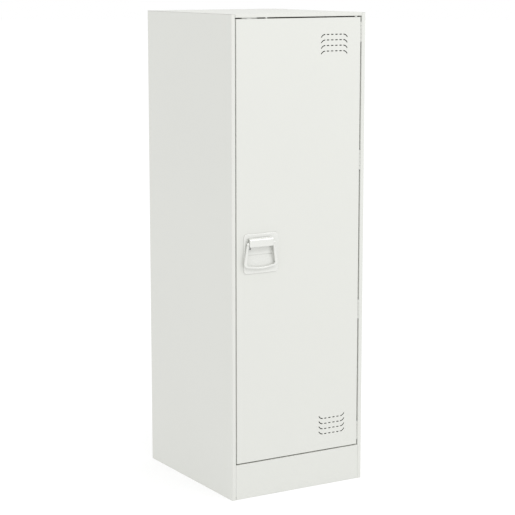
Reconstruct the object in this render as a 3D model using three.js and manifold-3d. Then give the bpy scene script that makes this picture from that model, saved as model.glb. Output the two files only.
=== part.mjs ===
// A single-door steel locker cabinet: a folded sheet body on a closed plinth, an inset door on four knuckle
// hinges, a drop handle that pulls a latch bar down, and a shelf and a coat rail inside.
//
// Millimetres, +Z up. The door faces -Y and its hinges are on the +X side. Inside the assembly group the
// front face of the cabinet is y = 0 and the floor is z = 0; the group then moves the whole cabinet so that
// its bounding box, handle included, is centred over the origin.
import * as THREE from "three";
import { mergeVertices } from "three/addons/utils/BufferGeometryUtils.js";
import Module from "manifold-3d";

const wasm = await Module();
wasm.setup();

// ---------------------------------------------------------------------------------------------- sizes
// The body.
const width = 390;
const depth = 440;
const height = 1215;
const sheet = 1; // thickness of every folded panel
const seam = 0.25; // gap between pieces that are welded or screwed together
const bend = 1.4; // centre-line radius of a fold
const stileWidth = 11; // front face of each side panel
const railHeight = 9; // front face of the top panel
const plinthHeight = 91;
const plinthReturn = 24; // depth of the plinth's top and bottom folds
const rebateWidth = 12; // inward flange that the door closes against
const rebateClearance = 1.5;
const rearFlange = 15;
const footFlange = 18; // inward flange that the cabinet stands on
const floorFlange = 15;

// The door.
const latchGap = 2.4;
const topGap = 3;
const bottomGap = 3.4;
const doorDepth = 18;
const doorLip = 12; // inner lip round the open back of the door pan
const stiffenerWidth = 60;
const stiffenerDepth = 10;
const stiffenerFoot = 14; // flange on each side of the stiffener
const stiffenerOffset = -12; // middle of the stiffener from the middle of the door
const stiffenerShort = 30; // stiffener short of the top and bottom of the door

// The vents: dashed arches at the top of the door, mirrored as bowls at its foot.
const ventRows = 4;
const ventPitch = 13.7;
const ventDashes = 4;
const ventDash = 7.6;
const ventDashPitch = 12.5;
const ventStroke = 2.5;
const ventEndStart = 27; // curved end stroke from the middle of its row
const ventEndRadius = 13;
const ventEndSweep = 65; // degrees
const ventFromHinge = 79; // middle of the vents from the hinge edge of the door
const ventFromEdge = 41.5; // outermost row from the top or bottom edge of the door

// The hinges.
const hingeLength = 50;
const knuckles = 5;
const pinDepth = 1.5; // hinge axis behind the front face
const barrelRadius = 1.5;
const boreRadius = 0.95;
const pinRadius = 0.8;
const pinHeadRadius = 1.35;
const pinHeadHeight = 1;
const knuckleGap = 1;
const leafThickness = 0.7;
const leafDepth = 15;
const leafSeat = 0.2; // paint between a leaf and the sheet that it is welded to
const leafRelief = 0.6; // clearance of a leaf round the other leaf's knuckles
const hingeFromEnd = 37; // middle of the outer hinges from the ends of the door
const innerHingePitch = 388; // between the two middle hinges

// The handle.
const plateWidth = 100;
const plateHeight = 100;
const plateRise = 2.7;
const plateBevel = 2.2;
const plateCorner = 9;
const plateFromLatchSide = 69.6; // middle of the plate from the latch edge of the door
const handleHeight = 627; // middle of the plate above the floor
const studRadius = 2;
const studFromMiddle = 41;
const nutRadius = 4;
const nutThickness = 2.4;
const hoodLength = 68;
const hoodOffset = -4.5; // middle of the hood from the middle of the plate
const hoodReach = 13; // front of the hood from the door, the foremost point of the cabinet
const hoodRise = 14; // top of the hood above the pivot
const hoodCrown = 8; // radius of the hood's upper front edge
const hoodUnder = 5; // underside of the hood below the pivot
const hoodApron = 7.5; // how far the front lip of the hood hangs below the pivot
const hoodLip = 1.6;
const hoodLean = 1.2; // the lip leans back by this much
const hoodHollow = 5; // depth of the hollow in each end, above the pivot
const pivotRadius = 2.2;
const pivotBore = 2.5;
const pivotStandOff = 7.4; // pivot in front of the door
const pivotAboveMiddle = 26;
const cupWidth = 78;
const cupHeight = 46;
const cupDepth = 1.6; // finger cup behind the face of the door
const cupWall = 1.4;
const cupShoulder = 21; // height of the upright wall at the top of the cup
const cupBelowPivot = 9;
const cupClearance = 0.5;
const creaseHeight = 1.2; // groove pressed where the upright wall meets the ramp
const creaseDepth = 0.9;
const bailRod = 5; // thickness of the bail
const bailRound = 2; // radius of its edges
const bailPlay = 0.6; // between an arm and the end of the hood
const bailSpread = 5.5; // each arm moves this far outwards down to the grip
const bailFlare = 3.5; // each arm is this much wider at the grip than at its eye
const bailLength = 57;
const bailCorner = 9;
const bailBow = 4.5; // how far the middle of the grip hangs below its ends
const eyeRadius = 3.8;
const eyePlay = 0.15;

// The latch.
const barWidth = 14;
const barThickness = 2.5;
const barBehindSkin = 3.2;
const barNose = 9; // the top of the bar stands this far above the door
const barFoot = 60; // foot of the bar above the bottom of the door
const barClearance = 1; // round the bar where it passes through a slot
const crankFromHoodEnd = 7;
const crankWidth = 4;
const crankThickness = 4;
const crankHub = 3.7;
const crankLength = 18.6;
const crankSweep = 16; // how far the slot for the crank runs below the pivot
const crankPlay = 1.2; // under the crank in the window of the bar
const crankHeadroom = 3; // over the crank in the window of the bar
const strikeHeight = 16;
const strikeReach = 26;
const strikeThickness = 1.5;
const strikeLevels = [250, 900]; // bottom of each strike above the plinth
const hookHeight = 10;
const hookThickness = 2.5;
const hookBehindStrike = 1.2;
const hookBite = 12; // how far a hook reaches behind its strike
const guideThickness = 1.5;
const guideHeight = 22;
const guideGap = 0.5;
const guideFoot = 7;
const guideLevels = [90, 420, 1010]; // bottom of each guide above the bottom of the door
const keeperWidth = 42;
const keeperThickness = 1.6;
const keeperDepth = 15;
const springLevel = 670; // lug of the bar above the bottom of the door
const springCoils = 9;
const springWire = 0.9;
const springRadius = 3.6;
const springLength = 34;
const springFromBar = 10; // axis of the spring from the edge of the bar
const lugHeight = 4;
const padPlaces = [-95, 168]; // pads under the top rail, across the cabinet
const padRadius = 3;
const padSetBack = 1; // front of a pad behind the front of the rail
const padClearance = 0.4;

// The inside.
const shelfBelowTop = 285;
const shelfLip = 18;
const shelfClearance = 3;
const runnerWidth = 14;
const tubeRadius = 8;
const tubeWall = 1.5;
const tubeBelowShelf = 60;
const socketRadius = 14;
const socketRim = 2.5;
const socketDepth = 9;
const socketBase = 2;
const socketPlay = 0.3;

// ------------------------------------------------------------------------------------- derived places
const right = width / 2;
const left = -right;
const half = sheet / 2;
const hingeGap = 2 * (barrelRadius + leafSeat);

const jambLeft = left + stileWidth;
const jambRight = right - stileWidth;
const doorLeft = jambLeft + latchGap;
const doorRight = jambRight - hingeGap;
const doorMiddle = (doorLeft + doorRight) / 2;
const doorBottom = plinthHeight + bottomGap;
const doorTop = height - railHeight - topGap;
const rebateFront = doorDepth + rebateClearance;
const rebateBack = rebateFront + sheet;
const innerLeft = left + sheet;
const innerRight = right - sheet;
const backFront = depth - 2 * sheet - seam;
const floorTop = plinthHeight - sheet - seam;
const railBottom = height - railHeight;
const railReturn = doorDepth; // depth of the fold under the top rail
const pinX = jambRight - hingeGap / 2;

const plateMiddle = doorLeft + plateFromLatchSide;
const hoodMiddle = plateMiddle + hoodOffset;
const hoodLeft = hoodMiddle - hoodLength / 2;
const hoodRight = hoodMiddle + hoodLength / 2;
const hoodBack = -plateRise - seam;
const pivotY = -pivotStandOff;
const pivotZ = handleHeight + pivotAboveMiddle;
const cupTop = pivotZ - cupBelowPivot;
const cupBottom = cupTop - cupHeight;
const cupShoulderZ = cupTop - cupShoulder;
const crankX = hoodLeft + crankFromHoodEnd;
const crankSlot = crankWidth / 2 + barClearance;
const crankDrop = pivotZ - crankSweep;

const barX = crankX;
const barFront = sheet + barBehindSkin;
const barBack = barFront + barThickness;
const barTop = doorTop + barNose;
const barBottom = doorBottom + barFoot;
const slotHalf = barWidth / 2 + barClearance;
const strikeFront = rebateBack + seam;
const strikeBack = strikeFront + strikeThickness;
const springX = barX + barWidth / 2 + springFromBar;
const springY = (barFront + barBack) / 2;
const lugTop = doorBottom + springLevel;
const anchorBottom = lugTop + springLength + 2 * seam;

const shelfTop = height - shelfBelowTop;
const shelfFront = rebateBack + shelfClearance;
const shelfBack = backFront - shelfClearance;
const runnerTop = shelfTop - sheet - seam;
const tubeY = depth / 2;
const tubeZ = shelfTop - tubeBelowShelf;

// ---------------------------------------------------------------------------------------------- paint
const colours = { powder: 0xe8e9e4, zinc: 0xb9bcbd, steel: 0x8f9294, nylon: 0xf2f2ee };

function powderCoat() {
  return new THREE.MeshStandardMaterial({ color: colours.powder, roughness: 0.5, metalness: 0 });
}

function zincPlate() {
  return new THREE.MeshStandardMaterial({ color: colours.zinc, roughness: 0.35, metalness: 1 });
}

function brightSteel() {
  return new THREE.MeshStandardMaterial({ color: colours.steel, roughness: 0.3, metalness: 1 });
}

function whiteNylon() {
  return new THREE.MeshStandardMaterial({ color: colours.nylon, roughness: 0.55, metalness: 0 });
}

// --------------------------------------------------------------------------------------------- solids
// A closed three.js geometry as a manifold solid.
function solid(geometry) {
  const bare = geometry.index ? geometry.toNonIndexed() : geometry.clone();
  for (const name of Object.keys(bare.attributes)) if (name !== "position") bare.deleteAttribute(name);
  const merged = mergeVertices(bare, 1e-4);
  const triVerts = new Uint32Array(merged.index.array);
  const vertProperties = new Float32Array(merged.attributes.position.array);
  return new wasm.Manifold(new wasm.Mesh({ numProp: 3, vertProperties, triVerts }));
}

function join(...solids) {
  return solids.reduce((all, next) => all.add(next));
}

function cut(from, ...tools) {
  return tools.reduce((rest, tool) => rest.subtract(tool), from);
}

// A box between two values on each axis.
function block(x0, x1, y0, y1, z0, z1) {
  const box = new THREE.BoxGeometry(x1 - x0, y1 - y0, z1 - z0);
  return solid(box.translate((x0 + x1) / 2, (y0 + y1) / 2, (z0 + z1) / 2));
}

// A box whose two x values come in either order, for pieces made on both sides.
function span(xa, xb, y0, y1, z0, z1) {
  return block(Math.min(xa, xb), Math.max(xa, xb), y0, y1, z0, z1);
}

// An outline drawn in x and y, extruded upwards between two heights.
function upright(shape, z0, z1, curveSegments = 6) {
  const body = new THREE.ExtrudeGeometry(shape, { depth: z1 - z0, bevelEnabled: false, curveSegments });
  return solid(body.translate(0, 0, z0));
}

// An outline drawn in y and z, extruded along X.
function sideways(shape, x0, x1, curveSegments = 6) {
  const body = new THREE.ExtrudeGeometry(shape, { depth: x1 - x0, bevelEnabled: false, curveSegments });
  const turn = new THREE.Matrix4().makeBasis(
    new THREE.Vector3(0, 1, 0),
    new THREE.Vector3(0, 0, 1),
    new THREE.Vector3(1, 0, 0),
  );
  return solid(body.applyMatrix4(turn).translate(x0, 0, 0));
}

// An outline drawn in x and z, extruded along Y.
function facing(shape, y0, y1, curveSegments = 6) {
  const body = new THREE.ExtrudeGeometry(shape, { depth: y1 - y0, bevelEnabled: false, curveSegments });
  const turn = new THREE.Matrix4().makeBasis(
    new THREE.Vector3(1, 0, 0),
    new THREE.Vector3(0, 0, 1),
    new THREE.Vector3(0, -1, 0),
  );
  return solid(body.applyMatrix4(turn).translate(0, y1, 0));
}

// A rectangle with round corners.
function roundedRectangle(x0, x1, y0, y1, r) {
  const shape = new THREE.Shape();
  shape.absarc(x1 - r, y1 - r, r, 0, Math.PI / 2, false);
  shape.absarc(x0 + r, y1 - r, r, Math.PI / 2, Math.PI, false);
  shape.absarc(x0 + r, y0 + r, r, Math.PI, (3 * Math.PI) / 2, false);
  shape.absarc(x1 - r, y0 + r, r, (3 * Math.PI) / 2, 2 * Math.PI, false);
  return shape;
}

function polygon(points) {
  return new THREE.Shape(points.map(([a, b]) => new THREE.Vector2(a, b)));
}

// A rod of round section along one axis: "x", "y" or "z".
function rod(axis, radius, a, b, from, to, sides = 16) {
  const body = new THREE.CylinderGeometry(radius, radius, to - from, sides);
  const middle = (from + to) / 2;
  if (axis === "x") body.rotateZ(-Math.PI / 2).translate(middle, a, b);
  if (axis === "y") body.translate(a, middle, b);
  if (axis === "z") body.rotateX(Math.PI / 2).translate(a, b, middle);
  return solid(body);
}

function rodBetween(axis, radius, a, b, from, to, sides) {
  return rod(axis, radius, a, b, Math.min(from, to), Math.max(from, to), sides);
}

// The section of a folded sheet whose centre line runs through the given points.
function foldedSection(points, thickness = sheet, radius = bend, steps = 3) {
  const line = [];
  const corner = points.map(([a, b]) => new THREE.Vector2(a, b));
  corner.forEach((at, i) => {
    const before = corner[i - 1];
    const after = corner[i + 1];
    if (!before || !after) {
      const along = before ? at.clone().sub(before) : after.clone().sub(at);
      line.push({ at, along: along.normalize() });
      return;
    }
    const into = at.clone().sub(before).normalize();
    const out = after.clone().sub(at).normalize();
    const start = at.clone().addScaledVector(into, -radius);
    const centre = start.clone().addScaledVector(out, radius);
    for (let step = 0; step <= steps; step += 1) {
      const angle = (step / steps) * (Math.PI / 2);
      const spot = centre.clone();
      spot.addScaledVector(out, -radius * Math.cos(angle));
      spot.addScaledVector(into, radius * Math.sin(angle));
      const along = into.clone().multiplyScalar(Math.cos(angle)).addScaledVector(out, Math.sin(angle));
      line.push({ at: spot, along });
    }
  });
  const offset = (by) => line.map(({ at, along }) => [at.x - along.y * by, at.y + along.x * by]);
  return polygon([...offset(thickness / 2), ...offset(-thickness / 2).reverse()]);
}

const cabinet = new THREE.Group();
cabinet.position.y = (hoodReach - depth) / 2;

// Adds one named piece to the cabinet.
function piece(name, made, material) {
  const { numProp, vertProperties, triVerts } = made.getMesh();
  if (numProp !== 3) throw new Error(name + " carries more than positions");
  const geometry = new THREE.BufferGeometry();
  geometry.setAttribute("position", new THREE.BufferAttribute(vertProperties, 3));
  geometry.setIndex(new THREE.BufferAttribute(triVerts, 1));
  geometry.computeVertexNormals();
  const mesh = new THREE.Mesh(geometry, material);
  mesh.name = name;
  cabinet.add(mesh);
}

// ----------------------------------------------------------------------------------------------- body
// A side panel is one sheet: rebate, jamb, front stile, outer wall and rear flange, with a foot flange.
function sidePanel(side) {
  const outer = right - half;
  const jamb = right - stileWidth + half;
  const section = foldedSection([
    [side * (jamb - rebateWidth), rebateFront + half],
    [side * jamb, rebateFront + half],
    [side * jamb, half],
    [side * outer, half],
    [side * outer, depth - half],
    [side * (right - rearFlange), depth - half],
  ]);
  const wall = upright(section, 0, height - sheet - seam);
  const foot = span(side * outer, side * (right - footFlange), plinthReturn + 2, backFront - 1, 0, sheet);
  const stile = right - stileWidth;
  const inward = stile - rebateWidth - 2;
  const plinthRoom = span(side * stile, side * inward, -1, rebateBack + 1, -1, plinthHeight);
  return cut(join(wall, foot), plinthRoom);
}

// The top is one sheet over the whole cabinet, with the front rail and a rear flange between the sides.
function topPanel() {
  const section = foldedSection([
    [railReturn, railBottom + half],
    [half, railBottom + half],
    [half, height - half],
    [depth - half, height - half],
    [depth - half, height - rearFlange],
  ]);
  const sides = [-1, 1].map((side) =>
    span(side * (right + 1), side * (right - stileWidth - seam), -1, depth / 2, 0, height - sheet),
  );
  const rear = right - rearFlange - seam;
  const rearRoom = [-1, 1].map((side) =>
    span(side * rear, side * (right + 1), depth / 2 - 1, depth + 1, 0, height - sheet),
  );
  const nose = noseSlot(railBottom - 1, railBottom + 2 * sheet);
  return cut(sideways(section, left, right), ...sides, ...rearRoom, nose);
}

// The slot that the nose of the latch bar rises through.
function noseSlot(z0, z1) {
  return block(barX - slotHalf, barX + slotHalf, barFront - barClearance, barBack + barClearance, z0, z1);
}

function backPanel() {
  const inset = sheet + bend;
  return block(left + inset, right - inset, backFront, backFront + sheet, 0, height - inset);
}

function floorPanel() {
  const low = floorTop - sheet;
  const x0 = innerLeft + seam;
  const x1 = innerRight - seam;
  const back = backFront - seam;
  const shoulder = rebateBack + 2;
  const deck = block(x0, x1, shoulder, back, low, floorTop);
  const tongue = block(jambLeft + seam, jambRight - seam, plinthReturn / 2, shoulder + sheet, low, floorTop);
  const flanges = [
    block(x0, x0 + sheet, shoulder, back, floorTop - floorFlange, floorTop),
    block(x1 - sheet, x1, shoulder, back, floorTop - floorFlange, floorTop),
    block(x0, x1, back - sheet, back, floorTop - floorFlange, floorTop),
  ];
  return join(deck, tongue, ...flanges);
}

function plinth() {
  const section = foldedSection([
    [plinthReturn, plinthHeight - half],
    [half, plinthHeight - half],
    [half, half],
    [plinthReturn, half],
  ]);
  return sideways(section, jambLeft + seam, jambRight - seam);
}

// --------------------------------------------------------------------------------------------- inside
function hatShelf() {
  const x0 = innerLeft + shelfClearance;
  const x1 = innerRight - shelfClearance;
  const section = foldedSection([
    [shelfFront + shelfLip / 2, shelfTop - shelfLip + half],
    [shelfFront + half, shelfTop - shelfLip + half],
    [shelfFront + half, shelfTop - half],
    [shelfBack - half, shelfTop - half],
    [shelfBack - half, shelfTop - shelfLip],
  ]);
  return sideways(section, x0, x1);
}

// An angle strip welded to a side wall, which the shelf lies on between its lips.
function shelfRunner(side) {
  const wall = right - sheet - seam;
  const lipRoom = shelfLip / 2 + sheet;
  const y0 = shelfFront + lipRoom;
  const y1 = shelfBack - lipRoom;
  const flat = span(side * wall, side * (wall - runnerWidth), y0, y1, runnerTop - sheet, runnerTop);
  const web = span(side * wall, side * (wall - sheet), y0, y1, runnerTop - runnerWidth, runnerTop);
  return join(flat, web);
}

function coatTube() {
  const inner = socketBase + seam;
  const x0 = innerLeft + seam + inner;
  const x1 = innerRight - seam - inner;
  const wall = rod("x", tubeRadius, tubeY, tubeZ, x0, x1, 24);
  return cut(wall, rod("x", tubeRadius - tubeWall, tubeY, tubeZ, x0 - 1, x1 + 1, 24));
}

function tubeSocket(side) {
  const wall = innerRight - seam;
  const bore = tubeRadius + socketPlay;
  const disc = rodBetween("x", socketRadius, tubeY, tubeZ, side * wall, side * (wall - socketBase), 24);
  const rim = rodBetween("x", bore + socketRim, tubeY, tubeZ, side * wall, side * (wall - socketDepth), 24);
  const mouth = side * (wall - socketBase);
  const hollow = rodBetween("x", bore, tubeY, tubeZ, mouth, side * (wall - socketDepth - 1), 24);
  return cut(join(disc, rim), hollow);
}

// --------------------------------------------------------------------------------------------- hinges
const knucklePitch = hingeLength / knuckles;
const hingeBottoms = [
  doorTop - hingeFromEnd,
  (doorTop + doorBottom + innerHingePitch) / 2,
  (doorTop + doorBottom - innerHingePitch) / 2,
  doorBottom + hingeFromEnd,
].map((middle) => middle - hingeLength / 2);

// One leaf: a plate in the gap beside the door with every second knuckle. The frame's leaf is side 1.
function hingeLeaf(side, bottom) {
  const outer = pinX + side * barrelRadius;
  const inner = outer - side * leafThickness;
  const relief = pinDepth + barrelRadius + leafRelief;
  const plate = span(outer, inner, relief, leafDepth, bottom, bottom + hingeLength);
  const first = side > 0 ? 0 : 1;
  const own = [];
  for (let k = first; k < knuckles; k += 2) {
    const z0 = bottom + k * knucklePitch + knuckleGap / 2;
    const z1 = bottom + (k + 1) * knucklePitch - knuckleGap / 2;
    own.push(rod("z", barrelRadius, pinX, pinDepth, z0, z1));
    own.push(span(outer, inner, pinDepth, relief + leafThickness, z0, z1));
  }
  const bore = rod("z", boreRadius, pinX, pinDepth, bottom - 1, bottom + hingeLength + 1);
  return cut(join(plate, ...own), bore);
}

function hingePin(bottom) {
  const low = bottom;
  const high = bottom + hingeLength;
  const shank = rod("z", pinRadius, pinX, pinDepth, low, high, 12);
  const foot = rod("z", pinHeadRadius, pinX, pinDepth, low - pinHeadHeight, low, 12);
  const head = rod("z", pinHeadRadius, pinX, pinDepth, high, high + pinHeadHeight, 12);
  return join(shank, foot, head);
}

// ----------------------------------------------------------------------------------------------- door
// A straight dash with round ends, drawn in x and z.
function dash(x, z) {
  const r = ventStroke / 2;
  const reach = ventDash / 2 - r;
  const shape = new THREE.Shape();
  shape.absarc(x + reach, z, r, -Math.PI / 2, Math.PI / 2, false);
  shape.absarc(x - reach, z, r, Math.PI / 2, (3 * Math.PI) / 2, false);
  return shape;
}

// The curved stroke at the end of a row. It starts level with the row and bends away from the door's end.
function endStroke(x, z, side, fall) {
  const r = ventStroke / 2;
  const sweep = THREE.MathUtils.degToRad(ventEndSweep);
  const steps = 5;
  const outer = [];
  const inner = [];
  for (let step = 0; step <= steps; step += 1) {
    const angle = (step / steps) * sweep;
    const at = (radius) => [
      x + side * (ventEndStart + radius * Math.sin(angle)),
      z - fall * (ventEndRadius - radius * Math.cos(angle)),
    ];
    outer.push(at(ventEndRadius + r));
    inner.push(at(ventEndRadius - r));
  }
  return polygon([...outer, ...inner.reverse()]);
}

function ventCuts() {
  const x = doorRight - ventFromHinge;
  const cuts = [];
  for (const fall of [1, -1]) {
    const first = fall > 0 ? doorTop - ventFromEdge : doorBottom + ventFromEdge;
    for (let row = 0; row < ventRows; row += 1) {
      const z = first - fall * row * ventPitch;
      const outlines = [-1, 1].map((side) => endStroke(x, z, side, fall));
      for (let k = 0; k < ventDashes; k += 1) {
        outlines.push(dash(x + (k - (ventDashes - 1) / 2) * ventDashPitch, z));
      }
      cuts.push(...outlines.map((outline) => facing(outline, -1, 2 * sheet, 4)));
    }
  }
  return cuts;
}

// The part of the finger cup's back that stands behind the face of the door.
const bossLow = [-plateRise + cupWall, cupBottom - cupWall / 4];
const bossHigh = [cupDepth + cupWall, cupShoulderZ - cupWall / 4];
const bossRun = (-seam - bossLow[0]) / (bossHigh[0] - bossLow[0]);
const bossFoot = bossLow[1] + (bossHigh[1] - bossLow[1]) * bossRun;

// The pan is folded up on all four sides and lipped inwards, so it is open only behind.
function doorPan() {
  const fold = bend + half;
  const shell = upright(roundedRectangle(doorLeft, doorRight, 0, doorDepth, fold), doorBottom, doorTop);
  const room = upright(
    roundedRectangle(doorLeft + sheet, doorRight - sheet, sheet, doorDepth - sheet, fold - sheet),
    doorBottom + sheet,
    doorTop - sheet,
  );
  const lip = sheet + doorLip;
  const mouth = block(
    doorLeft + lip,
    doorRight - lip,
    doorDepth / 2,
    doorDepth + 1,
    doorBottom + lip,
    doorTop - lip,
  );
  const cupEdge = cupWidth / 2 + cupWall + cupClearance;
  const cupRoom = block(
    hoodMiddle - cupEdge,
    hoodMiddle + cupEdge,
    -1,
    2 * sheet,
    bossFoot - cupClearance,
    cupTop + cupWall + cupClearance,
  );
  const studHole = studRadius + cupClearance;
  const studHoles = studPlaces().map(([x, z]) => rod("y", studHole, x, z, -1, 2 * sheet, 12));
  const nose = noseSlot(doorTop - 2 * sheet, doorTop + 1);
  return cut(shell, room, mouth, cupRoom, crankRoom(-1, 2 * sheet), nose, ...studHoles, ...ventCuts());
}

function doorStiffener() {
  const middle = doorMiddle + stiffenerOffset;
  const skin = sheet + seam + half;
  const web = stiffenerWidth / 2;
  const foot = web + stiffenerFoot;
  const section = foldedSection([
    [middle - foot, skin],
    [middle - web, skin],
    [middle - web, skin + stiffenerDepth],
    [middle + web, skin + stiffenerDepth],
    [middle + web, skin],
    [middle + foot, skin],
  ]);
  return upright(section, doorBottom + stiffenerShort, doorTop - stiffenerShort);
}

// --------------------------------------------------------------------------------------------- handle
function studPlaces() {
  const s = studFromMiddle;
  return [
    [plateMiddle - s, handleHeight + s],
    [plateMiddle + s, handleHeight + s],
    [plateMiddle - s, handleHeight - s],
    [plateMiddle + s, handleHeight - s],
  ];
}

// The slot that the crank swings in, through the plate and the door.
function crankRoom(y0, y1) {
  const top = pivotZ + crankThickness / 2 + barClearance;
  return block(crankX - crankSlot, crankX + crankSlot, y0, y1, crankDrop, top);
}

function handlePlate() {
  const w = plateWidth / 2 - plateBevel;
  const h = plateHeight / 2 - plateBevel;
  const slab = new THREE.ExtrudeGeometry(roundedRectangle(-w, w, -h, h, plateCorner - plateBevel), {
    depth: plateRise,
    bevelThickness: plateBevel,
    bevelSize: plateBevel,
    bevelSegments: 3,
    curveSegments: 5,
  });
  slab.rotateX(Math.PI / 2).translate(plateMiddle, plateBevel, handleHeight);
  const cupLeft = hoodMiddle - cupWidth / 2;
  const cupRight = hoodMiddle + cupWidth / 2;
  const bossTop = cupTop + cupWall;
  const boss = polygon([[bossLow[0] + cupWall, bossTop], [bossHigh[0], bossTop], bossHigh, bossLow]);
  const cup = polygon([
    [-plateRise - 1, cupTop],
    [cupDepth, cupTop],
    [cupDepth, cupShoulderZ + creaseHeight],
    [cupDepth + creaseDepth, cupShoulderZ + creaseHeight],
    [cupDepth + creaseDepth, cupShoulderZ],
    [cupDepth, cupShoulderZ],
    [-plateRise, cupBottom],
    [-plateRise - 1, cupBottom],
  ]);
  const studs = studPlaces().map(([x, z]) => rod("y", studRadius, x, z, -1, barFront - seam, 12));
  const front = cut(solid(slab), block(left, right, -seam, depth, 0, height));
  const back = sideways(boss, cupLeft - cupWall, cupRight + cupWall);
  const slot = crankRoom(-plateRise - 1, bossHigh[0] + 1);
  return cut(join(front, back, ...studs), sideways(cup, cupLeft, cupRight), slot);
}

function studNut([x, z]) {
  const y0 = sheet + seam;
  const hexagon = rod("y", nutRadius, x, z, y0, y0 + nutThickness, 6);
  return cut(hexagon, rod("y", studRadius + eyePlay, x, z, 0, y0 + nutThickness + 1, 12));
}

// The hood: a cover with a rounded upper edge over the pivot, a front lip, and room behind for the crank.
function handleHood() {
  const lipFront = hoodLean - hoodReach;
  const shape = new THREE.Shape();
  shape.moveTo(hoodBack, pivotZ + hoodRise);
  shape.absarc(hoodCrown - hoodReach, pivotZ + hoodRise - hoodCrown, hoodCrown, Math.PI / 2, Math.PI, false);
  shape.lineTo(lipFront, pivotZ - hoodApron);
  shape.lineTo(lipFront + hoodLip, pivotZ - hoodApron);
  shape.lineTo(lipFront + hoodLip, pivotZ - hoodUnder);
  shape.lineTo(hoodBack, pivotZ - hoodUnder);
  shape.closePath();
  const cover = sideways(shape, hoodLeft, hoodRight, 8);
  const bore = rod("x", pivotBore, pivotY, pivotZ, hoodLeft - 1, hoodRight + 1, 20);
  const hub = crankHub + cupClearance;
  const hubRoom = block(crankX - crankSlot, crankX + crankSlot, pivotY - hub, 0, pivotZ - hub, pivotZ + hub);
  const toeRoom = block(crankX - crankSlot, crankX + crankSlot, pivotY, 0, crankDrop, pivotZ);
  const hollows = [-1, 1].map((side) => {
    const end = hoodMiddle + (side * hoodLength) / 2;
    const y0 = 2 * hoodLip - hoodReach;
    const y1 = hoodBack - hoodLip;
    const z0 = pivotZ + pivotBore + hoodLip;
    return span(end + side, end - side * hoodHollow, y0, y1, z0, pivotZ + hoodRise - hoodLip);
  });
  return cut(cover, bore, hubRoom, toeRoom, ...hollows);
}

// The bail is a flat loop that hangs from the pivot, parallel to the plate. Its arms flare towards the grip.
function handleBail() {
  const innerTop = hoodLength / 2 + bailPlay;
  const middle = innerTop + bailRod / 2;
  const wire = bailRod / 2 - bailRound;
  const outline = (offset, spread) => {
    const top = middle + offset;
    const low = middle + spread + offset;
    const foot = -bailLength - offset;
    const corner = bailCorner + offset;
    return { top, low, foot, corner };
  };
  const out = outline(wire, bailSpread + bailFlare);
  const hole = outline(-wire, bailSpread);
  const shape = new THREE.Shape();
  shape.moveTo(-out.top, 0);
  shape.lineTo(-out.low, out.foot + out.corner);
  shape.quadraticCurveTo(-out.low, out.foot, out.corner - out.low, out.foot);
  shape.quadraticCurveTo(0, out.foot - 2 * bailBow, out.low - out.corner, out.foot);
  shape.quadraticCurveTo(out.low, out.foot, out.low, out.foot + out.corner);
  shape.lineTo(out.top, 0);
  shape.lineTo(hole.top, 0);
  shape.lineTo(hole.low, hole.foot + hole.corner);
  shape.quadraticCurveTo(hole.low, hole.foot, hole.low - hole.corner, hole.foot);
  shape.quadraticCurveTo(0, hole.foot - 2 * bailBow, hole.corner - hole.low, hole.foot);
  shape.quadraticCurveTo(-hole.low, hole.foot, -hole.low, hole.foot + hole.corner);
  shape.lineTo(-hole.top, 0);
  shape.closePath();
  const loop = new THREE.ExtrudeGeometry(shape, {
    depth: bailRod - 2 * bailRound,
    bevelThickness: bailRound,
    bevelSize: bailRound,
    bevelSegments: 4,
    curveSegments: 9,
  });
  loop.rotateX(Math.PI / 2).translate(hoodMiddle, pivotY + wire, pivotZ);
  const eyes = [-1, 1].map((side) => {
    const near = hoodMiddle + side * innerTop;
    return rodBetween("x", eyeRadius, pivotY, pivotZ, near, near + side * bailRod, 16);
  });
  const holes = rod("x", pivotRadius + eyePlay, pivotY, pivotZ, left, right, 16);
  return cut(join(solid(loop), ...eyes), holes);
}

function pivotRod() {
  const reach = hoodLength / 2 + bailPlay + bailRod;
  return rod("x", pivotRadius, pivotY, pivotZ, hoodMiddle - reach, hoodMiddle + reach, 16);
}

// The crank turns with the pivot rod; its toe reaches through the window of the latch bar.
function latchCrank() {
  const x0 = crankX - crankWidth / 2;
  const x1 = crankX + crankWidth / 2;
  const hub = rod("x", crankHub, pivotY, pivotZ, x0, x1, 20);
  const t = crankThickness / 2;
  const toe = block(x0, x1, pivotY, pivotY + crankLength, pivotZ - t, pivotZ + t);
  return cut(join(hub, toe), rod("x", pivotRadius + eyePlay, pivotY, pivotZ, x0 - 1, x1 + 1, 16));
}

// ---------------------------------------------------------------------------------------------- latch
function latchBar() {
  const x0 = barX - barWidth / 2;
  const x1 = barX + barWidth / 2;
  const strip = block(x0, x1, barFront, barBack, barBottom, barTop);
  const lug = block(x1 - 1, springX + springRadius, barFront, barBack, lugTop - lugHeight, lugTop);
  const t = crankThickness / 2;
  const window = block(
    barX - crankSlot,
    barX + crankSlot,
    0,
    doorDepth,
    pivotZ - t - crankPlay,
    pivotZ + t + crankHeadroom,
  );
  return cut(join(strip, lug), window);
}

// A hook is riveted to the back of the bar and reaches behind its strike.
function latchHook(level) {
  const z0 = plinthHeight + level + (strikeHeight - hookHeight) / 2;
  const z1 = z0 + hookHeight;
  const x0 = barX - barWidth / 2;
  const toeFront = strikeBack + hookBehindStrike;
  const toeBack = toeFront + hookThickness;
  const tip = jambLeft + seam + strikeReach - hookBite;
  const foot = block(x0, barX + barWidth / 2, barBack + seam, barBack + seam + hookThickness, z0, z1);
  const arm = block(x0, x0 + hookThickness, barBack + seam, toeBack, z0, z1);
  const toe = block(tip, x0 + hookThickness, toeFront, toeBack, z0, z1);
  return join(foot, arm, toe);
}

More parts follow.
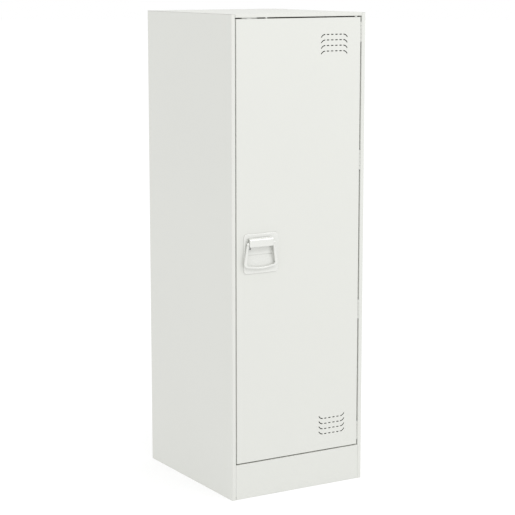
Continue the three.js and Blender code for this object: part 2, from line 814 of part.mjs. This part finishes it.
function sideStrike(level) {
  const z0 = plinthHeight + level;
  const x0 = jambLeft + seam;
  return block(x0, x0 + strikeReach, strikeFront, strikeBack, z0, z0 + strikeHeight);
}

function latchKeeper() {
  const top = railBottom - seam;
  const y0 = (railReturn - keeperDepth) / 2;
  const x0 = barX - keeperWidth / 2;
  const plate = block(x0, x0 + keeperWidth, y0, y0 + keeperDepth, top - keeperThickness, top);
  return cut(plate, noseSlot(top - keeperThickness - 1, top + 1));
}

// A strap over the bar, spot-welded to the back of the door skin.
function latchGuide(level) {
  const skin = sheet + seam + guideThickness / 2;
  const bridge = barBack + guideGap + guideThickness / 2;
  const side = slotHalf + guideThickness / 2;
  const section = foldedSection(
    [
      [barX - side - guideFoot, skin],
      [barX - side, skin],
      [barX - side, bridge],
      [barX + side, bridge],
      [barX + side, skin],
      [barX + side + guideFoot, skin],
    ],
    guideThickness,
  );
  return upright(section, doorBottom + level, doorBottom + level + guideHeight);
}

// The return spring hangs between the anchor on the door and the lug of the bar.
function latchSpring() {
  const steps = springCoils * 10;
  const points = [];
  for (let step = 0; step <= steps; step += 1) {
    const turn = (step / steps) * springCoils * 2 * Math.PI;
    const z = lugTop + seam + springWire / 2 + (step / steps) * (springLength - springWire);
    points.push(new THREE.Vector3(springRadius * Math.cos(turn), springRadius * Math.sin(turn), z));
  }
  const wire = new THREE.Shape();
  wire.absarc(0, 0, springWire / 2, 0, 2 * Math.PI, false);
  const coil = new THREE.ExtrudeGeometry(wire, {
    steps,
    extrudePath: new THREE.CatmullRomCurve3(points),
    curveSegments: 3,
  });
  return solid(coil.translate(springX, springY, 0));
}

function springAnchor() {
  const x0 = springX - springRadius - 2;
  const x1 = springX + springRadius + 2;
  const y0 = sheet + seam;
  const foot = block(x0, x1, y0, y0 + guideThickness, anchorBottom, anchorBottom + 3 * lugHeight);
  const shelf = block(x0, x1, y0, springY + springRadius, anchorBottom, anchorBottom + guideThickness);
  return join(foot, shelf);
}

function railPad(x) {
  const top = railBottom - seam;
  return rod("z", padRadius, x, padSetBack + padRadius, top - (topGap - seam - padClearance), top, 16);
}

// ------------------------------------------------------------------------------------------- assembly
piece("side_panel_left", sidePanel(-1), powderCoat());
piece("side_panel_right", sidePanel(1), powderCoat());
piece("top_panel", topPanel(), powderCoat());
piece("back_panel", backPanel(), powderCoat());
piece("floor_panel", floorPanel(), powderCoat());
piece("plinth", plinth(), powderCoat());

piece("hat_shelf", hatShelf(), powderCoat());
piece("shelf_runner_left", shelfRunner(-1), powderCoat());
piece("shelf_runner_right", shelfRunner(1), powderCoat());
piece("coat_rail", coatTube(), brightSteel());
piece("rail_socket_left", tubeSocket(-1), whiteNylon());
piece("rail_socket_right", tubeSocket(1), whiteNylon());

piece("door_pan", doorPan(), powderCoat());
piece("door_stiffener", doorStiffener(), powderCoat());
hingeBottoms.forEach((bottom, i) => {
  piece(`hinge_frame_leaf_${i + 1}`, hingeLeaf(1, bottom), powderCoat());
  piece(`hinge_door_leaf_${i + 1}`, hingeLeaf(-1, bottom), powderCoat());
  piece(`hinge_pin_${i + 1}`, hingePin(bottom), brightSteel());
});

piece("handle_plate", handlePlate(), powderCoat());
piece("handle_hood", handleHood(), powderCoat());
studPlaces().forEach((place, i) => piece(`handle_nut_${i + 1}`, studNut(place), zincPlate()));
piece("handle_bail", handleBail(), powderCoat());
piece("pivot_rod", pivotRod(), brightSteel());
piece("latch_crank", latchCrank(), zincPlate());

piece("latch_bar", latchBar(), zincPlate());
strikeLevels.forEach((level, i) => {
  piece(`latch_hook_${i + 1}`, latchHook(level), zincPlate());
  piece(`side_strike_${i + 1}`, sideStrike(level), zincPlate());
});
guideLevels.forEach((level, i) => piece(`latch_guide_${i + 1}`, latchGuide(level), zincPlate()));
piece("latch_keeper", latchKeeper(), powderCoat());
piece("latch_spring", latchSpring(), brightSteel());
piece("spring_anchor", springAnchor(), zincPlate());
padPlaces.forEach((x, i) => piece(`rail_pad_${i + 1}`, railPad(x), whiteNylon()));

export default cabinet;
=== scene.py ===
import math

import bmesh
import bpy
from mathutils import Matrix, Vector


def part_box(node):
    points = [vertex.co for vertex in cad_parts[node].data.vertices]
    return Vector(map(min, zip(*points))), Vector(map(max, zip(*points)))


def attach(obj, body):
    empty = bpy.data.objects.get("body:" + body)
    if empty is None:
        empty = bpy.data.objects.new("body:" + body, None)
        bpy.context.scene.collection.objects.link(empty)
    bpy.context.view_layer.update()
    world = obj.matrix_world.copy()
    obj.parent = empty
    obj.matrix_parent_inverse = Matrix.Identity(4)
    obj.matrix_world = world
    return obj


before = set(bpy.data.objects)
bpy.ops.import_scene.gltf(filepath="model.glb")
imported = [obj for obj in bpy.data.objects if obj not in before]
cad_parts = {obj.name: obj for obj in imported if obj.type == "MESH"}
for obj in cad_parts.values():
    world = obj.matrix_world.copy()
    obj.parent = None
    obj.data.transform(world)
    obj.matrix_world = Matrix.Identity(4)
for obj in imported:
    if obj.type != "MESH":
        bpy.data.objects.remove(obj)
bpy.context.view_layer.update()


# ------------------------------------------------------------------------------------------ the camera
# A long lens looks at the cabinet from its front left, a little above it, with the whole cabinet in frame.
# It aims close to the middle of the body, which is behind the middle of the whole by half the handle.
view_azimuth = math.radians(-30.84)
view_elevation = math.radians(9.802)
view_distance = 4.3933
aim_right = 0.00825
aim_down = 0.03372
body_middle = (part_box("side_panel_left")[0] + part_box("side_panel_right")[1]) / 2
body_middle.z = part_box("top_panel")[1].z / 2

camera_right = Vector((math.cos(view_azimuth), math.sin(view_azimuth), 0))
camera_back = Vector((
    math.sin(view_azimuth) * math.cos(view_elevation),
    -math.cos(view_azimuth) * math.cos(view_elevation),
    math.sin(view_elevation),
))
camera_up = camera_back.cross(camera_right)
camera_data = bpy.data.cameras.new("camera")
camera_data.lens = 116.8
camera_data.sensor_width = 36
camera = bpy.data.objects.new("camera", camera_data)
aim = body_middle + camera_right * aim_right - camera_up * aim_down
camera.matrix_world = Matrix.Translation(aim + camera_back * view_distance) @ Matrix((
    (camera_right.x, camera_up.x, camera_back.x, 0),
    (camera_right.y, camera_up.y, camera_back.y, 0),
    (camera_right.z, camera_up.z, camera_back.z, 0),
    (0, 0, 0, 1),
))
bpy.context.scene.collection.objects.link(camera)
bpy.context.scene.camera = camera


# ------------------------------------------------------------------------------------------ the studio
# A white room gives light from all round. A long lamp above the door casts the soft shadows, and a small one
# to its right puts the bright line on the handle. The floor is as white as the room, with a faint shadow.
def new_nodes(tree):
    """Empties a node tree and returns a function that adds a node with its settings and input values."""
    tree.nodes.clear()

    def add(kind, inputs=(), **settings):
        node = tree.nodes.new("ShaderNode" + kind)
        for name, value in settings.items():
            setattr(node, name, value)
        for name, value in dict(inputs).items():
            if isinstance(value, bpy.types.NodeSocket):
                tree.links.new(value, node.inputs[name])
            else:
                node.inputs[name].default_value = value
        return node

    return add


world = bpy.data.worlds.new("white_room")
world.use_nodes = True
add = new_nodes(world.node_tree)
glow = add("Background", {"Color": (1.0, 1.0, 1.0, 1), "Strength": 1.0})
add("OutputWorld", {"Surface": glow.outputs["Background"]})
bpy.context.scene.world = world
bpy.context.scene.view_settings.view_transform = "Standard"


def studio_lamp(name, place, width, height, power):
    """A rectangular lamp aimed at the middle of the body."""
    data = bpy.data.lights.new(name, "AREA")
    data.shape = "RECTANGLE"
    data.size = width
    data.size_y = height
    data.energy = power
    lamp = bpy.data.objects.new(name, data)
    lamp.location = place
    lamp.rotation_euler = (body_middle - lamp.location).to_track_quat("-Z", "Y").to_euler()
    bpy.context.scene.collection.objects.link(lamp)


studio_lamp("door_lamp", (0.3, -3.0, 3.6), 5, 0.4, 30)
studio_lamp("handle_lamp", (1.5, -1.9, 2.9), 0.6, 0.6, 8)

floor_mesh = bmesh.new()
bmesh.ops.create_circle(floor_mesh, cap_ends=True, segments=96, radius=40)
floor_data = bpy.data.meshes.new("studio_floor")
floor_mesh.to_mesh(floor_data)
floor_mesh.free()
studio_floor = bpy.data.objects.new("studio_floor", floor_data)
bpy.context.scene.collection.objects.link(studio_floor)
floor_paint = bpy.data.materials.new("studio_floor")
floor_paint.use_nodes = True
add = new_nodes(floor_paint.node_tree)
floor_matt = add("BsdfDiffuse", {"Color": (0.5, 0.5, 0.5, 1)})
floor_glow = add("Emission", {"Color": (1, 1, 1, 1), "Strength": 0.53})
floor_both = add("AddShader", {0: floor_matt.outputs["BSDF"], 1: floor_glow.outputs["Emission"]})
add("OutputMaterial", {"Surface": floor_both.outputs["Shader"]})
floor_data.materials.append(floor_paint)


# ------------------------------------------------------------------------------- the folded steel body
# Side panels, top, back, floor and plinth are folded from 1 mm sheet and spot-welded, then powder-coated
# together in a warm white. The coat rounds every edge a little and has a fine orange-peel surface.
def paint_material(name, colour, roughness, peel, coat=0.0, coat_ior=1.5):
    """A sprayed paint: faint drift of colour and gloss, a fine peel and broad soft waves in the sheet."""
    material = bpy.data.materials.new(name)
    material.use_nodes = True
    add = new_nodes(material.node_tree)
    place = add("TexCoord").outputs["Object"]
    drift = add("TexNoise", {"Vector": place, "Scale": 3.0, "Detail": 3.0, "Roughness": 0.5})
    speck = add("TexNoise", {"Vector": place, "Scale": 420.0, "Detail": 2.0, "Roughness": 0.6})
    tone = add("MapRange", {"Value": drift.outputs["Fac"], "To Min": 0.985, "To Max": 1.01})
    grain = add("MapRange", {"Value": speck.outputs["Fac"], "To Min": 0.985, "To Max": 1.015})
    shade = add("Math", {0: tone.outputs["Result"], 1: grain.outputs["Result"]}, operation="MULTIPLY")
    tint = add("VectorMath", {0: colour, "Scale": shade.outputs["Value"]}, operation="SCALE")
    gloss = add("MapRange", {"Value": speck.outputs["Fac"]})
    gloss.inputs["To Min"].default_value = roughness - 0.05
    gloss.inputs["To Max"].default_value = roughness + 0.07
    skin = add("TexNoise", {"Vector": place, "Scale": 700.0, "Detail": 1.0, "Roughness": 0.4})
    wave = add("TexNoise", {"Vector": place, "Scale": 5.0, "Detail": 1.0, "Roughness": 0.3})
    swell = add("Bump", {"Height": wave.outputs["Fac"], "Strength": 0.06, "Distance": 0.004})
    bump = add("Bump", {
        "Height": skin.outputs["Fac"],
        "Strength": peel,
        "Distance": 0.0002,
        "Normal": swell.outputs["Normal"],
    })
    shader = add("BsdfPrincipled", {
        "Base Color": tint.outputs["Vector"],
        "Roughness": gloss.outputs["Result"],
        "Normal": bump.outputs["Normal"],
        "Coat Weight": coat,
        "Coat Roughness": 0.16,
        "Coat IOR": coat_ior,
    })
    add("OutputMaterial", {"Surface": shader.outputs["BSDF"]})
    return material


def round_edges(piece, width):
    """The soft edge that the coat leaves on folded or cut sheet. Large flat faces keep a flat shading."""
    weld = piece.modifiers.new("merge", "WELD")
    weld.merge_threshold = 1e-6
    flat = piece.modifiers.new("flat_faces", "DECIMATE")
    flat.decimate_type = "DISSOLVE"
    flat.angle_limit = math.radians(0.5)
    edge = piece.modifiers.new("edges", "BEVEL")
    edge.width = width
    edge.segments = 2
    edge.limit_method = "ANGLE"
    edge.angle_limit = math.radians(35)
    shade = piece.modifiers.new("shading", "WEIGHTED_NORMAL")
    shade.mode = "FACE_AREA"
    shade.weight = 100
    for face in piece.data.polygons:
        face.use_smooth = True


def finish_node(name, material, width=0.00025):
    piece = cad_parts[name]
    piece.data.materials.clear()
    piece.data.materials.append(material)
    round_edges(piece, width)


powder_coat = paint_material("powder_coat", (0.679, 0.686, 0.650), 0.48, 0.35)
body_sheets = ["side_panel_left", "side_panel_right", "top_panel", "back_panel", "floor_panel", "plinth"]
for name in body_sheets:
    finish_node(name, powder_coat)


def add_piece(name, mesh, material, body):
    """Puts a finished bmesh into the scene as a piece of one body."""
    bmesh.ops.recalc_face_normals(mesh, faces=mesh.faces)
    data = bpy.data.meshes.new(name)
    mesh.to_mesh(data)
    mesh.free()
    for face in data.polygons:
        face.use_smooth = True
    data.materials.append(material)
    piece = bpy.data.objects.new(name, data)
    bpy.context.scene.collection.objects.link(piece)
    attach(piece, body)
    return piece


def stamp_rounds(mesh, profile, places, facing):
    """Turns a profile of (radius, height) points into one small round boss at each place, facing outwards."""
    turn = Vector(facing).to_track_quat("Z", "Y").to_matrix().to_4x4()
    for place in places:
        before = set(mesh.verts)
        line = [mesh.verts.new((radius, 0, height)) for radius, height in profile]
        edges = [mesh.edges.new(pair) for pair in zip(line, line[1:])]
        bmesh.ops.spin(
            mesh, geom=line + edges, axis=(0, 0, 1), cent=(0, 0, 0), steps=16,
            angle=2 * math.pi, use_merge=True,
        )
        made = [v for v in mesh.verts if v not in before]
        bmesh.ops.remove_doubles(mesh, verts=made, dist=1e-6)
        made = [v for v in mesh.verts if v not in before]
        bmesh.ops.transform(mesh, matrix=Matrix.Translation(place) @ turn, verts=made)


# ---------------------------------------------------------------------------- the welds of the body
# The back panel is spot-welded to the rear flanges of the sides and top. Each weld leaves a shallow ring
# under the paint, about 6 mm across, on the inner face of the panel.
weld_ring = [(0, -0.0001), (0.0031, -0.0001), (0.0031, 0), (0.0026, 0.00012), (0.0018, 0.00002), (0, 0)]


def levels(low, high, count):
    """Evenly spaced values, with half a space left at each end."""
    return [low + (high - low) * (k + 0.5) / count for k in range(count)]


back_low, back_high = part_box("back_panel")
weld_margin = 0.0065
top_weld_reach = 0.17
weld_places = [
    (x, back_low.y, z)
    for x in (back_low.x + weld_margin, back_high.x - weld_margin)
    for z in levels(back_low.z, back_high.z, 9)
]
top_weld_z = back_high.z - weld_margin
weld_places += [(x, back_low.y, top_weld_z) for x in levels(-top_weld_reach, top_weld_reach, 4)]
body_welds = bmesh.new()
stamp_rounds(body_welds, weld_ring, weld_places, (0, -1, 0))
add_piece("body_welds", body_welds, powder_coat, "cabinet")


# ------------------------------------------------------------------------------------------- the inside
# The hat shelf lies on two angle strips that are welded to the sides. The coat rail is a bright drawn tube
# whose ends sit in white nylon sockets.
for name in ["hat_shelf", "shelf_runner_left", "shelf_runner_right"]:
    finish_node(name, powder_coat, 0.0002)


def metal_material(name, colour, roughness, stretch):
    """A bare or plated metal: cloudy tone, and a fine grain drawn out along the piece."""
    material = bpy.data.materials.new(name)
    material.use_nodes = True
    add = new_nodes(material.node_tree)
    place = add("TexCoord").outputs["Object"]
    pulled = add("Mapping", {"Vector": place, "Scale": stretch})
    grain = add("TexNoise", {"Vector": pulled.outputs["Vector"], "Scale": 900.0, "Detail": 3.0})
    cloud = add("TexNoise", {"Vector": place, "Scale": 60.0, "Detail": 3.0})
    tone = add("MapRange", {"Value": cloud.outputs["Fac"], "To Min": 0.86, "To Max": 1.1})
    tint = add("VectorMath", {0: colour, "Scale": tone.outputs["Result"]}, operation="SCALE")
    gloss = add("MapRange", {"Value": grain.outputs["Fac"]})
    gloss.inputs["To Min"].default_value = roughness - 0.08
    gloss.inputs["To Max"].default_value = roughness + 0.12
    bump = add("Bump", {"Height": grain.outputs["Fac"], "Strength": 0.15, "Distance": 0.0001})
    shader = add("BsdfPrincipled", {
        "Base Color": tint.outputs["Vector"],
        "Metallic": 1.0,
        "Roughness": gloss.outputs["Result"],
        "Normal": bump.outputs["Normal"],
    })
    add("OutputMaterial", {"Surface": shader.outputs["BSDF"]})
    return material


bright_steel = metal_material("bright_steel", (0.56, 0.57, 0.58), 0.28, (0.04, 1, 1))
white_nylon = paint_material("white_nylon", (0.8, 0.8, 0.77), 0.42, 0.2)
finish_node("coat_rail", bright_steel, 0.0002)
for side in ("left", "right"):
    finish_node(f"rail_socket_{side}", white_nylon, 0.0004)

# ------------------------------------------------------------------------------------------ the hinges
# Four hinges stand in the gap beside the door. Their leaves are welded on before painting, and each pin is
# plain steel with an upset head at both ends.
for i in range(1, 5):
    finish_node(f"hinge_frame_leaf_{i}", powder_coat, 0.0001)
    finish_node(f"hinge_door_leaf_{i}", powder_coat, 0.0001)
    finish_node(f"hinge_pin_{i}", bright_steel, 0.0002)

# -------------------------------------------------------------------------------------------- the door
# The door is a pan folded on all four sides with a hat-section stiffener spot-welded down its back.
# Its vents are punched and have a slightly rounded rim.
finish_node("door_pan", powder_coat, 0.00025)
finish_node("door_stiffener", powder_coat, 0.0002)
stiffener_low, stiffener_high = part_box("door_stiffener")
sheet = 0.001
foot_margin = 0.006
door_places = [
    (x, stiffener_low.y + sheet, z)
    for x in (stiffener_low.x + foot_margin, stiffener_high.x - foot_margin)
    for z in levels(stiffener_low.z, stiffener_high.z, 8)
]
door_welds = bmesh.new()
stamp_rounds(door_welds, weld_ring, door_places, (0, 1, 0))
add_piece("door_welds", door_welds, powder_coat, "door")

# ------------------------------------------------------------------------------------------ the handle
# Plate, hood and bail are zinc die castings with a glossier white enamel. The plate is held from behind by
# four studs with hexagon nuts.
handle_enamel = paint_material("handle_enamel", (0.682, 0.689, 0.654), 0.26, 0.06, 1.0, 1.9)
finish_node("handle_plate", handle_enamel, 0.0004)
finish_node("handle_hood", handle_enamel, 0.0005)
finish_node("handle_bail", handle_enamel, 0.0003)
finish_node("pivot_rod", bright_steel, 0.0003)

# ------------------------------------------------------------------------------------------- the latch
# The crank, the bar, its hooks, guides and strikes are pressed from strip and zinc-plated. A steel coil
# spring pulls the bar up. The keeper above the door is painted with the body.
zinc_plate = metal_material("zinc_plate", (0.66, 0.67, 0.66), 0.34, (1, 1, 1))
latch_strip = ["latch_crank", "latch_bar", "spring_anchor"]
latch_strip += [f"latch_hook_{i}" for i in (1, 2)] + [f"side_strike_{i}" for i in (1, 2)]
latch_strip += [f"latch_guide_{i}" for i in (1, 2, 3)] + [f"handle_nut_{i}" for i in (1, 2, 3, 4)]
for name in latch_strip:
    finish_node(name, zinc_plate, 0.00015)
finish_node("latch_spring", bright_steel, 0.00005)
finish_node("latch_keeper", powder_coat, 0.0002)
for i in (1, 2):
    finish_node(f"rail_pad_{i}", white_nylon, 0.0004)

rivet_head = [
    (0, -0.0001), (0.0026, -0.0001), (0.0026, 0.0003), (0.0022, 0.0009), (0.0013, 0.0013), (0, 0.0014),
]
rivet_half_pitch = 0.0032
seam = 0.00025
hook_thickness = 0.0025
hook_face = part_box("latch_bar")[1].y + seam + hook_thickness
guide_low, guide_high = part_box("latch_guide_1")
bar_middle = (guide_low.x + guide_high.x) / 2
hook_rivets = bmesh.new()
for i in (1, 2):
    hook_low, hook_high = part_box(f"latch_hook_{i}")
    hook_middle = (hook_low.z + hook_high.z) / 2
    places = [(bar_middle + x, hook_face, hook_middle) for x in (-rivet_half_pitch, rivet_half_pitch)]
    stamp_rounds(hook_rivets, rivet_head, places, (0, 1, 0))
add_piece("hook_rivets", hook_rivets, zinc_plate, "latch")
